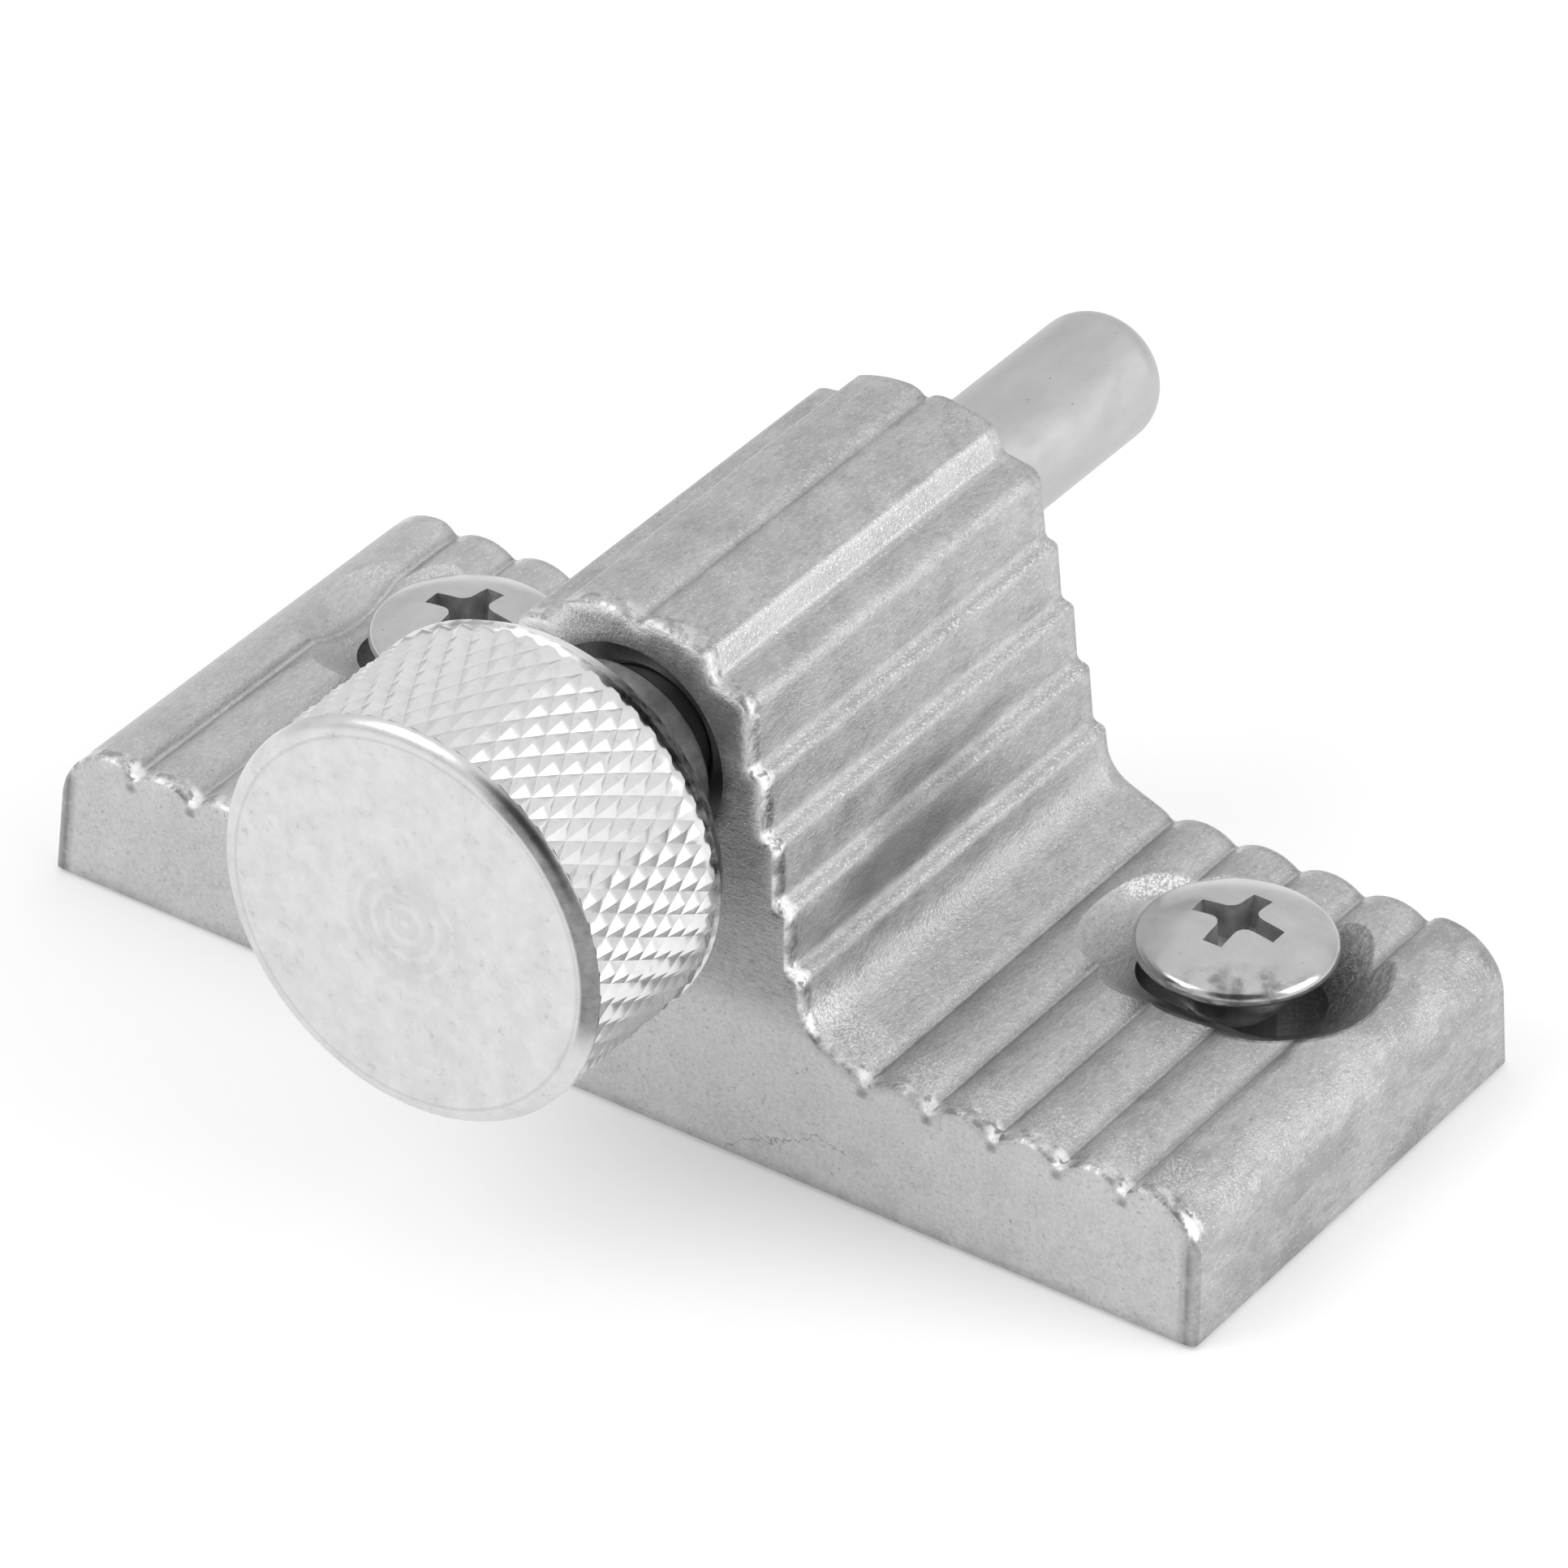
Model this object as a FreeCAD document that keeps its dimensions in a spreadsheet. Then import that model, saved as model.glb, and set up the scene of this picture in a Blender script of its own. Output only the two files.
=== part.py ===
import FreeCAD, Part
import math
import os
import re
import Sketcher

# A bolt lock for a sliding patio door. X runs along the foot, the bolt stands out towards +Y,
# the knob is pulled towards -Y, and the foot lies on the plane Z = 0 with the origin at its middle.
# All lengths are in millimetres, slopes are run per rise, and the counts are plain numbers.

sizes = {
    # foot of the casting
    "foot_length": 60.0,
    "foot_depth": 25.35,
    "face_slope": 0.064,
    "groove_height": 5.87,
    "first_groove": 12.84,
    "foot_ribs": 4,
    "rib_rise": 0.65,
    "end_crest_rise": 0.68,
    "end_crest_run": 0.98,
    "end_round": 2.92,
    "end_slope": 0.0487,
    # hump of the casting
    "toe_run": 0.64,
    "toe_rise": 0.51,
    "cove_run": 3.29,
    "cove_rise": 1.59,
    "ledge_base": 9.79,
    "ledge_width": 0.62,
    "ledge_drop": 0.12,
    "ledge_count": 4,
    "flank_base": 8.66,
    "flank_lean": 0.82,
    "crest_height": 24.1,
    "shoulder_band": 3.35,
    "shoulder_half": 5.93,
    "shoulder_drop": 2.05,
    "crown_groove_half": 4.0,
    "crown_groove_drop": 1.72,
    "crown_half": 3.62,
    "crown_side_drop": 0.6,
    "crest_place": 0.9,
    "middle_groove_drop": 0.5,
    # rounds of the casting
    "groove_round": 0.25,
    "ledge_round": 0.36,
    "cove_round": 1.95,
    "shoulder_round": 0.8,
    "crown_round": 0.45,
    "rim_round": 0.32,
    # bore for the bolt
    "axis_drop": 6.45,
    "pocket_radius": 4.94,
    "back_wall": 2.55,
    "running_clearance": 0.08,
    # screw slots
    "slot_inset": 9.2,
    "slot_back": 4.35,
    "slot_travel": 3.7,
    "slot_radius": 2.6,
    "sink_radius": 4.75,
    "sink_height": 6.2,
    "sink_floor": 4.85,
    "sink_cut": 2.0,
    # bolt
    "bolt_radius": 3.175,
    "bolt_reach": 15.15,
    "nose_round": 2.1,
    "groove_radius": 2.62,
    "front_chamfer": 0.4,
    # knob
    "knob_radius": 9.55,
    "knob_length": 10.2,
    "knob_gap": 5.65,
    "knob_front_round": 0.8,
    "knob_back_chamfer": 0.65,
    "knob_back_run": 0.95,
    "hub_radius": 4.7,
    "hub_gap": 0.42,
    "hub_round": 0.3,
    "socket_depth": 9.2,
    "socket_clearance": 0.02,
    "socket_room": 0.3,
    # pieces inside the bore
    "bush_recess": 1.25,
    "bush_thickness": 2.0,
    "bush_chamfer": 0.35,
    "press_clearance": 0.01,
    "ring_thickness": 0.8,
    "ring_radius": 4.45,
    "ring_bore": 2.65,
    "ring_opening": 3.2,
    "end_play": 0.05,
    "washer_thickness": 0.8,
    "washer_radius": 4.7,
    "washer_bore": 3.3,
    "wire_radius": 0.4,
    "coil_radius": 4.06,
    "coil_turns": 6.5,
    "coil_room": 0.01,
    # screws
    "screw_closer": 0.5,
    "screw_shift": 0.65,
    "head_radius": 4.5,
    "head_band": 0.5,
    "head_edge": 0.15,
    "head_crown": 1.15,
    "cone_slope": 0.87,
    "seat_clearance": 0.1,
    "shank_radius": 1.95,
    "thread_radius": 2.4,
    "thread_start": 0.3,
    "screw_length": 15.9,
    "point_length": 2.4,
    "recess_radius": 2.35,
    "recess_half": 0.55,
    "recess_corner": 0.45,
    "recess_depth": 2.1,
    "recess_slope": 0.14,
}

doc = FreeCAD.newDocument("patio_door_lock")
sheet = doc.addObject("Spreadsheet::Sheet", "Sizes")
for row, (name, value) in enumerate(sizes.items(), start=1):
    sheet.set(f"A{row}", name)
    sheet.set(f"B{row}", str(value))
    sheet.setAlias(f"B{row}", name)
doc.recompute()

small = 1e-6        # a length taken as nothing
close = 1e-2        # as near as an edge must lie to its corner of the outline
flush = 1e-3        # as near as a point must lie to a face
pieces = []         # the sub-parts that are written out


def linked(expression):
    """The expression with every size pointing at its cell of the sheet."""
    return re.sub(r"\b[a-z]+(_[a-z]+)+\b", r"Sizes.\g<0>", expression)


def worked_out(expression):
    """The number that an expression of sizes gives."""
    value = sheet.evalExpression(linked(expression))
    return float(getattr(value, "Value", value))


def place(piece, **offsets):
    """Move a finished piece by expressions, one for each axis that is named."""
    for axis, expression in offsets.items():
        piece.setExpression(f".Placement.Base.{axis}", linked(expression))
    pieces.append(piece)


def new_body(label):
    return doc.addObject("PartDesign::Body", label)


def new_sketch(body, role, name, lift=None):
    """A sketch on one of the body's own planes, lifted along its normal where an expression is given."""
    sketch = body.newObject("Sketcher::SketchObject", name)
    plane = next(item for item in body.Origin.OriginFeatures if item.Role == role)
    sketch.AttachmentSupport = [(plane, "")]
    sketch.MapMode = "FlatFace"
    if lift:
        sketch.setExpression(".AttachmentOffset.Base.z", linked(lift))
    return sketch


def hold_point(sketch, curve, end, across, up):
    """Hold a point of a sketch at the place that two expressions give."""
    for kind, axis, expression in (("DistanceX", -2, across), ("DistanceY", -1, up)):
        distance = worked_out(expression)
        if abs(distance) < small:
            sketch.addConstraint(Sketcher.Constraint("PointOnObject", curve, end, axis))
            continue
        number = sketch.addConstraint(Sketcher.Constraint(kind, -1, 1, curve, end, distance))
        sketch.setExpression(f"Constraints[{number}]", linked(expression))


def hold_radius(sketch, curve, expression):
    number = sketch.addConstraint(Sketcher.Constraint("Radius", curve, worked_out(expression)))
    sketch.setExpression(f"Constraints[{number}]", linked(expression))


def arc_between(start, finish, radius, turn):
    """The short arc from start to finish, turning left where turn is 1 and right where it is -1."""
    chord = finish - start
    reach = math.sqrt(max(radius ** 2 - (chord.Length / 2) ** 2, 0))
    side = FreeCAD.Vector(-chord.y, chord.x, 0).normalize()
    centre = (start + finish) / 2 + side * reach * turn
    ends = (start, finish) if turn > 0 else (finish, start)
    first, last = [math.atan2(point.y - centre.y, point.x - centre.x) for point in ends]
    if last < first:
        last += 2 * math.pi
    circle = Part.Circle(centre, FreeCAD.Vector(0, 0, 1), radius)
    return Part.ArcOfCircle(circle, first, last)


def draw_outline(sketch, corners):
    """A closed outline of (across, up) corners; (across, up, radius, turn) where an arc follows the corner."""
    points = [FreeCAD.Vector(worked_out(corner[0]), worked_out(corner[1]), 0) for corner in corners]
    curves = []
    for number, corner in enumerate(corners):
        start = points[number]
        finish = points[(number + 1) % len(points)]
        if len(corner) == 2:
            curve = sketch.addGeometry(Part.LineSegment(start, finish), False)
            curves.append((curve, 1, 2))
            continue
        arc = arc_between(start, finish, worked_out(corner[2]), corner[3])
        curve = sketch.addGeometry(arc, False)
        hold_radius(sketch, curve, corner[2])
        curves.append((curve, 1, 2) if corner[3] > 0 else (curve, 2, 1))
    for number, corner in enumerate(corners):
        curve, first, last = curves[number]
        following = curves[(number + 1) % len(curves)]
        sketch.addConstraint(Sketcher.Constraint("Coincident", curve, last, following[0], following[1]))
        hold_point(sketch, curve, first, corner[0], corner[1])


def draw_circle(sketch, across, up, radius):
    centre = FreeCAD.Vector(worked_out(across), worked_out(up), 0)
    curve = sketch.addGeometry(Part.Circle(centre, FreeCAD.Vector(0, 0, 1), worked_out(radius)), False)
    hold_point(sketch, curve, 3, across, up)
    hold_radius(sketch, curve, radius)


def add_feature(body, kind, name, **values):
    """Add a feature to a body; the values given as text are expressions of the sizes."""
    feature = body.newObject(f"PartDesign::{kind}", name)
    for key, value in values.items():
        if isinstance(value, str) and key not in ("Type", "SideType"):
            feature.setExpression(key, linked(value))
        else:
            setattr(feature, key, value)
    body.Tip = feature
    doc.recompute()
    return feature


def turned(body, name, plane, axis, corners):
    """A solid turned about one axis of a plane of its body."""
    sketch = new_sketch(body, plane, name + "_outline")
    draw_outline(sketch, corners)
    return add_feature(body, "Revolution", name, Profile=sketch, ReferenceAxis=(sketch, [axis]))


def round_edges(body, name, edges, radius):
    return add_feature(body, "Fillet", name, Base=(body.Tip, edges), Radius=radius)


def edges_through(shape, places):
    """Names of the edges that run along Y through the given places of X and Z."""
    names = []
    for number, edge in enumerate(shape.Edges, start=1):
        first, last = edge.Vertexes[0].Point, edge.Vertexes[-1].Point
        if math.hypot(last.x - first.x, last.z - first.z) > small or abs(last.y - first.y) < small:
            continue
        if any(math.hypot(first.x - x, first.z - z) < close for x, z in places):
            names.append(f"Edge{number}")
    return names


def rim_edges(shape):
    """Names of the edges all round the two sloping faces, but not those along the ground."""
    names = []
    half, slope = worked_out("foot_depth / 2"), worked_out("face_slope")
    for number, edge in enumerate(shape.Edges, start=1):
        middle = edge.valueAt((edge.FirstParameter + edge.LastParameter) / 2)
        points = [vertex.Point for vertex in edge.Vertexes] + [middle]
        if middle.z > small and all(abs(abs(point.y) + slope * point.z - half) < flush for point in points):
            names.append(f"Edge{number}")
    return names


# stations along the bolt's axis
axis_height = "(crest_height - axis_drop)"
face_place = f"(foot_depth / 2 - face_slope * {axis_height})"
floor_place = f"({face_place} - back_wall)"
ring_back = f"({floor_place} - end_play)"
ring_front = f"({ring_back} - ring_thickness)"
washer_back = f"({ring_front} - end_play)"
washer_front = f"({washer_back} - washer_thickness)"
bush_front = f"(bush_recess - {face_place})"
bush_back = f"({bush_front} + bush_thickness)"
hub_end = f"(-{face_place} - hub_gap)"
knob_back = f"(-{face_place} - knob_gap)"
knob_front = f"({knob_back} - knob_length)"
bolt_front = f"({hub_end} - socket_depth + socket_room)"
bolt_tip = f"({face_place} + bolt_reach)"
guide_radius = "(bolt_radius + running_clearance)"
slot_place = "(foot_length / 2 - slot_inset)"

# right half of the casting's outline, from the end of the foot up to the middle of the crown
end_centre = "(groove_height + end_crest_rise - end_round)"
end_steepness = "sqrt(1 + end_slope ^ 2)"
end_crest = f"(foot_length / 2 - end_slope * {end_centre} - end_round * {end_steepness})"
rib_pitch = f"(({end_crest} - end_crest_run - first_groove) / foot_ribs)"
rib_radius = f"(({rib_pitch} / 2) ^ 2 + rib_rise ^ 2) / (2 * rib_rise)"
slab_run = "(cove_run - toe_run)"
slab_rise = "(cove_rise - toe_rise)"
toe_bend = f"({slab_run} * toe_rise - {slab_rise} * toe_run)"
toe_radius = f"(toe_run ^ 2 + toe_rise ^ 2) * sqrt({slab_run} ^ 2 + {slab_rise} ^ 2) / (2 * {toe_bend})"
shoulder_height = "(crest_height - shoulder_drop)"
ledge_pitch = f"(({shoulder_height} - shoulder_band - ledge_base) / (ledge_count - 1))"
crest_radius = "((crown_half - crest_place) ^ 2 + crown_side_drop ^ 2) / (2 * crown_side_drop)"
middle_radius = "(crest_place ^ 2 + middle_groove_drop ^ 2) / (2 * middle_groove_drop)"


def groove(number):
    """Bottom of a groove of the foot, counted from the hump outwards."""
    return f"first_groove + {number} * {rib_pitch}", "groove_height"


def ledge(number):
    """Inner corner of a ledge on the hump's flank, counted from the lowest."""
    return f"flank_base - {number} * flank_lean", f"ledge_base + {number} * {ledge_pitch}"


def lip(number):
    """Outer corner of the same ledge."""
    across, up = ledge(number)
    return f"{across} + ledge_width", f"{up} - ledge_drop"


toe = ("first_groove - toe_run", "groove_height + toe_rise")
cove = ("first_groove - cove_run", "groove_height + cove_rise")
shoulder = ("shoulder_half", shoulder_height)
crown_groove = ("crown_groove_half", "crest_height - crown_groove_drop")
crown_corner = ("crown_half", "crest_height - crown_side_drop")
middle_groove = ("0", "crest_height - middle_groove_drop")
ledges = range(sizes["ledge_count"])

half_outline = [
    ("foot_length / 2", "0"),
    (f"{end_crest} + end_round / {end_steepness}",
     f"{end_centre} + end_round * end_slope / {end_steepness}", "end_round", 1),
    (end_crest, "groove_height + end_crest_rise",
     "(end_crest_run ^ 2 + end_crest_rise ^ 2) / (2 * end_crest_rise)", 1),
]
half_outline += [(*groove(number), rib_radius, 1) for number in range(sizes["foot_ribs"], 0, -1)]
half_outline += [(*groove(0), toe_radius, 1), toe, cove]
for number in ledges:
    half_outline += [lip(number), ledge(number)]
half_outline += [
    shoulder,
    crown_groove,
    (*crown_corner, crest_radius, 1),
    ("crest_place", "crest_height", middle_radius, 1),
]
left_outline = []
for number in reversed(range(len(half_outline))):
    arc_before = half_outline[number - 1][2:] if number else ()
    left_outline.append((f"-({half_outline[number][0]})", half_outline[number][1], *arc_before))

casting = new_body("body_casting")
profile = new_sketch(casting, "XZ_Plane", "casting_outline")
draw_outline(profile, half_outline + [(*middle_groove, middle_radius, 1)] + left_outline)
add_feature(casting, "Pad", "ribbed_block", Profile=profile, SideType="Symmetric", Length="foot_depth")

rounded = {
    "groove": [groove(number) for number in range(sizes["foot_ribs"] + 1)]
    + [ledge(number) for number in ledges] + [crown_groove, middle_groove],
    "ledge": [lip(number) for number in ledges],
    "cove": [cove],
    "shoulder": [shoulder],
    "crown": [crown_corner],
}
for kind, corners in rounded.items():
    places = [(side * worked_out(across), worked_out(up)) for across, up in corners for side in (1, -1)]
    round_edges(casting, f"{kind}_rounds", edges_through(casting.Shape, places), f"{kind}_round")

above = "(crest_height + 1)"
beyond = "(foot_depth / 2 + 1)"
sides = new_sketch(casting, "YZ_Plane", "face_slopes")
for sign in ("-", ""):
    draw_outline(sides, [
        (f"{sign}(foot_depth / 2)", "0"),
        (f"{sign}(foot_depth / 2 - face_slope * {above})", above),
        (f"{sign}{beyond}", above),
        (f"{sign}{beyond}", "0"),
    ])
add_feature(casting, "Pocket", "sloping_faces", Profile=sides, SideType="Symmetric", Type=1)
round_edges(casting, "rim_rounds", rim_edges(casting.Shape), "rim_round")

spring_hole = new_sketch(casting, "XZ_Plane", "spring_hole_circle", f"-{floor_place}")
draw_circle(spring_hole, "0", axis_height, "pocket_radius")
add_feature(casting, "Pocket", "spring_hole", Profile=spring_hole, Type=1, Reversed=True)
guide_hole = new_sketch(casting, "XZ_Plane", "guide_hole_circle")
draw_circle(guide_hole, "0", axis_height, guide_radius)
add_feature(casting, "Pocket", "guide_hole", Profile=guide_hole, Type=1)


def draw_slots(sketch, radius):
    """Both slots, each of two half circles joined by straight sides that touch them."""
    upright = FreeCAD.Vector(0, 0, 1)
    size = worked_out(radius)
    for sign in ("-", ""):
        middle = f"{sign}{slot_place}"
        arcs = []
        for end, turned_by in (("-", math.pi / 2), ("+", -math.pi / 2)):
            across = f"{middle} {end} slot_travel / 2"
            circle = Part.Circle(FreeCAD.Vector(worked_out(across), worked_out("slot_back"), 0), upright, size)
            arc = Part.ArcOfCircle(circle, turned_by, turned_by + math.pi)
            curve = sketch.addGeometry(arc, False)
            hold_point(sketch, curve, 3, across, "slot_back")
            hold_radius(sketch, curve, radius)
            arcs.append((curve, arc))
        for number in (0, 1):
            (curve, arc), (other, other_arc) = arcs[number], arcs[1 - number]
            side = sketch.addGeometry(Part.LineSegment(arc.EndPoint, other_arc.StartPoint), False)
            sketch.addConstraint(Sketcher.Constraint("Tangent", curve, 2, side, 1))
            sketch.addConstraint(Sketcher.Constraint("Tangent", side, 2, other, 1))


slots = new_sketch(casting, "XY_Plane", "slot_outlines")
draw_slots(slots, "slot_radius")
add_feature(casting, "Pocket", "slots", Profile=slots, Type=1, Reversed=True)
sinks = new_sketch(casting, "XY_Plane", "sink_outlines", "sink_floor")
draw_slots(sinks, "slot_radius")
add_feature(casting, "Pocket", "sinks", Profile=sinks, Reversed=True, Length="sink_cut",
            TaperAngle="atan((sink_radius - slot_radius) / (sink_height - sink_floor))")
pieces.append(casting)

# knob with its hub, turned from one bar and bored for the bolt
knob = new_body("pull_knob")
turned(knob, "knob_turning", "YZ_Plane", "H_Axis", [
    (knob_front, "0"),
    (f"{hub_end} - socket_depth", "0"),
    (f"{hub_end} - socket_depth", "bolt_radius + socket_clearance"),
    (hub_end, "bolt_radius + socket_clearance"),
    (hub_end, "hub_radius - hub_round", "hub_round", 1),
    (f"{hub_end} - hub_round", "hub_radius"),
    (knob_back, "hub_radius"),
    (knob_back, "knob_radius - knob_back_chamfer"),
    (f"{knob_back} - knob_back_run", "knob_radius"),
    (f"{knob_front} + knob_front_round", "knob_radius", "knob_front_round", 1),
    (knob_front, "knob_radius - knob_front_round"),
])
place(knob, z=axis_height)

# bolt with its round end and the groove for the ring
bolt = new_body("bolt_pin")
turned(bolt, "bolt_turning", "YZ_Plane", "H_Axis", [
    (bolt_front, "0"),
    (bolt_tip, "0"),
    (bolt_tip, "bolt_radius - nose_round", "nose_round", 1),
    (f"{bolt_tip} - nose_round", "bolt_radius"),
    (f"{ring_back} + end_play", "bolt_radius"),
    (f"{ring_back} + end_play", "groove_radius"),
    (f"{ring_front} - end_play", "groove_radius"),
    (f"{ring_front} - end_play", "bolt_radius"),
    (f"{bolt_front} + front_chamfer", "bolt_radius"),
    (bolt_front, "bolt_radius - front_chamfer"),
])
place(bolt, z=axis_height)

# bushing pressed into the mouth of the bore
bushing = new_body("guide_bushing")
turned(bushing, "bushing_turning", "YZ_Plane", "H_Axis", [
    (f"{bush_front} + bush_chamfer", guide_radius),
    (bush_back, guide_radius),
    (bush_back, "pocket_radius - press_clearance"),
    (bush_front, "pocket_radius - press_clearance"),
    (bush_front, f"{guide_radius} + bush_chamfer"),
])
place(bushing, z=axis_height)

# spring between the bushing and the washer
coil_height = f"({washer_front} - {bush_back} - 2 * (wire_radius + coil_room))"
coil = doc.addObject("Part::Helix", "coil_path")
coil.setExpression("Pitch", linked(f"{coil_height} / coil_turns"))
coil.setExpression("Height", linked(coil_height))
coil.setExpression("Radius", linked("coil_radius"))
wire = doc.addObject("Part::Circle", "wire_section")
wire.setExpression("Radius", linked("wire_radius"))
wire.setExpression(".Placement.Base.x", linked("coil_radius"))
wire.Placement.Rotation = FreeCAD.Rotation(FreeCAD.Vector(1, 0, 0), 90)
spring = doc.addObject("Part::Sweep", "compression_spring")
spring.Sections = [wire]
spring.Spine = (coil, [])
spring.Solid = True
spring.Frenet = True
spring.Placement.Rotation = FreeCAD.Rotation(FreeCAD.Vector(1, 0, 0), -90)
place(spring, y=f"{bush_back} + wire_radius + coil_room", z=axis_height)


def flat_ring(label, outer, bore, thickness, back):
    """A flat ring about the bolt's axis, whose thickness lies in front of the station given."""
    body = new_body(label)
    rings = new_sketch(body, "XZ_Plane", label + "_circles")
    draw_circle(rings, "0", "0", outer)
    draw_circle(rings, "0", "0", bore)
    add_feature(body, "Pad", label + "_blank", Profile=rings, Length=thickness)
    place(body, y=back, z=axis_height)
    return body


flat_ring("thrust_washer", "washer_radius", "washer_bore", "washer_thickness", washer_back)
ring = flat_ring("retaining_ring", "ring_radius", "ring_bore", "ring_thickness", ring_back)
opening = new_sketch(ring, "XZ_Plane", "ring_opening_outline")
draw_outline(opening, [
    ("-ring_opening / 2", "0"),
    ("ring_opening / 2", "0"),
    ("ring_opening / 2", "-(ring_radius + 1)"),
    ("-ring_opening / 2", "-(ring_radius + 1)"),
])
add_feature(ring, "Pocket", "ring_mouth", Profile=opening, SideType="Symmetric", Type=1)

# screws, with their axes upright and the underside of the head's band at their own zero
seat_height = "(sink_floor + (head_radius - head_edge - slot_radius) / cone_slope + seat_clearance)"
cone_end = "(-(head_radius - head_edge - shank_radius) / cone_slope)"
thread_top = f"(-{seat_height} - thread_start)"
tip_place = "(head_band - screw_length)"
dome_radius = "((head_radius - head_edge) ^ 2 + head_crown ^ 2) / (2 * head_crown)"


def cross_corners():
    """Outline of the cross recess, wing by wing round the middle."""
    corners = []
    wing = [
        ("recess_half + recess_corner", "-recess_half"),
        ("recess_radius", "-recess_half"),
        ("recess_radius", "recess_half"),
        ("recess_half + recess_corner", "recess_half", "recess_corner", -1),
    ]
    for quarter in range(4):
        for across, up, *arc in wing:
            for _ in range(quarter):
                across, up = f"-({up})", across
            corners.append((across, up, *arc))
    return corners


for label, sign in (("mounting_screw_right", ""), ("mounting_screw_left", "-")):
    screw = new_body(label)
    turned(screw, label + "_turning", "XZ_Plane", "V_Axis", [
        ("0", tip_place),
        ("thread_radius", f"{tip_place} + point_length"),
        ("thread_radius", thread_top),
        ("shank_radius", f"{thread_top} + thread_radius - shank_radius"),
        ("shank_radius", cone_end),
        ("head_radius - head_edge", "0", "head_edge", 1),
        ("head_radius", "head_edge"),
        ("head_radius", "head_band - head_edge", "head_edge", 1),
        ("head_radius - head_edge", "head_band", dome_radius, 1),
        ("0", "head_band + head_crown"),
    ])
    recess = new_sketch(screw, "XY_Plane", label + "_cross", "head_band + head_crown")
    draw_outline(recess, cross_corners())
    add_feature(screw, "Pocket", label + "_recess", Profile=recess, Length="recess_depth",
                TaperAngle="-atan(recess_slope)")
    place(screw, x=f"screw_shift + {sign}({slot_place} - screw_closer)", y="slot_back", z=seat_height)

doc.recompute()
broken = [item.Label for item in doc.Objects if "Invalid" in item.State or "Error" in item.State]
broken += [piece.Label for piece in pieces if piece.Shape.isNull() or not piece.Shape.isValid()]
if broken:
    raise RuntimeError(f"not built: {broken}")

os.makedirs("parts", exist_ok=True)
for piece in pieces:
    piece.Shape.exportStep(f"parts/{piece.Label}.step")
    print(piece.Label, len(piece.Shape.Solids), round(piece.Shape.Volume, 2))
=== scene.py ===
import math

import bmesh
import bpy
from mathutils import Matrix, Vector


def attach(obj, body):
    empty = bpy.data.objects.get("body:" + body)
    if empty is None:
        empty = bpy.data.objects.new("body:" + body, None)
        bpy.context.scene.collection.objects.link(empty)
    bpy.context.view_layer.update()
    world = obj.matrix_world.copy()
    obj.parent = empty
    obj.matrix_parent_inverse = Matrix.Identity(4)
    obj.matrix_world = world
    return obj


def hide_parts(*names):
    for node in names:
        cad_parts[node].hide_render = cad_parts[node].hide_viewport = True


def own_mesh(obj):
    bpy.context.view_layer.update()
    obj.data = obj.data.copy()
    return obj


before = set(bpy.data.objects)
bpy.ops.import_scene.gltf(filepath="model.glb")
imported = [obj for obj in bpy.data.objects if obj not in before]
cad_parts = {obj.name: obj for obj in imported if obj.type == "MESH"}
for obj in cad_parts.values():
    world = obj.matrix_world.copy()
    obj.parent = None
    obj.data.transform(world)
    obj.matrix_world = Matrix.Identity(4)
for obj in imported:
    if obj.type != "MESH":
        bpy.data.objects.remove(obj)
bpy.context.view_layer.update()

# the settings are in mm where nothing else is said, and the scene is in metres

mm = 0.001
axisHeight = 17.65      # the bolt's axis, which lies along Y at x = 0


# selecting, as by hand

def deselectAll():
    if bpy.context.mode != "OBJECT":
        bpy.ops.object.mode_set(mode="OBJECT")
    bpy.ops.object.select_all(action="DESELECT")


def only(obj):
    deselectAll()
    obj.select_set(True)
    bpy.context.view_layer.objects.active = obj


def startEdit(obj, kind="VERT"):
    only(obj)
    bpy.ops.object.mode_set(mode="EDIT")
    bpy.ops.mesh.select_mode(type=kind)
    bpy.ops.mesh.select_all(action="DESELECT")


def endEdit():
    bpy.ops.object.mode_set(mode="OBJECT")


def pickVerts(obj, test):
    bpy.ops.mesh.select_mode(type="VERT")
    mesh = bmesh.from_edit_mesh(obj.data)
    for vert in mesh.verts:
        vert.select_set(test(vert.co))
    mesh.select_flush_mode()
    bmesh.update_edit_mesh(obj.data)


def pickEdges(obj, test):
    bpy.ops.mesh.select_mode(type="EDGE")
    mesh = bmesh.from_edit_mesh(obj.data)
    for edge in mesh.edges:
        edge.select_set(test(*(vert.co for vert in edge.verts)))
    bmesh.update_edit_mesh(obj.data)


def pickFaces(obj, test):
    bpy.ops.mesh.select_mode(type="FACE")
    mesh = bmesh.from_edit_mesh(obj.data)
    for face in mesh.faces:
        face.select_set(test(face.calc_center_median(), face.normal))
    bmesh.update_edit_mesh(obj.data)


# making

def applyTransform():
    bpy.ops.object.transform_apply(location=True, rotation=True, scale=True)


def applyModifier(obj, kind, **values):
    modifier = obj.modifiers.new(kind.title(), kind)
    for key, value in values.items():
        setattr(modifier, key, value)
    only(obj)
    bpy.ops.object.modifier_apply(modifier=modifier.name)


def wind(obj, turns, rise, count):
    # a section in the XZ plane is wound round Z, and rises along it
    applyModifier(obj, "SCREW", angle=2 * math.pi * turns, screw_offset=rise * mm, steps=count,
                  render_steps=count, use_merge_vertices=False)


def settle(obj, sharpest=30):
    # turns and offsets go into the mesh, faces look outwards, and angles above the sharpest stay edges
    only(obj)
    applyTransform()
    startEdit(obj)
    bpy.ops.mesh.select_all(action="SELECT")
    bpy.ops.mesh.normals_make_consistent(inside=False)
    endEdit()
    bpy.ops.object.shade_smooth_by_angle(angle=math.radians(sharpest))


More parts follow.
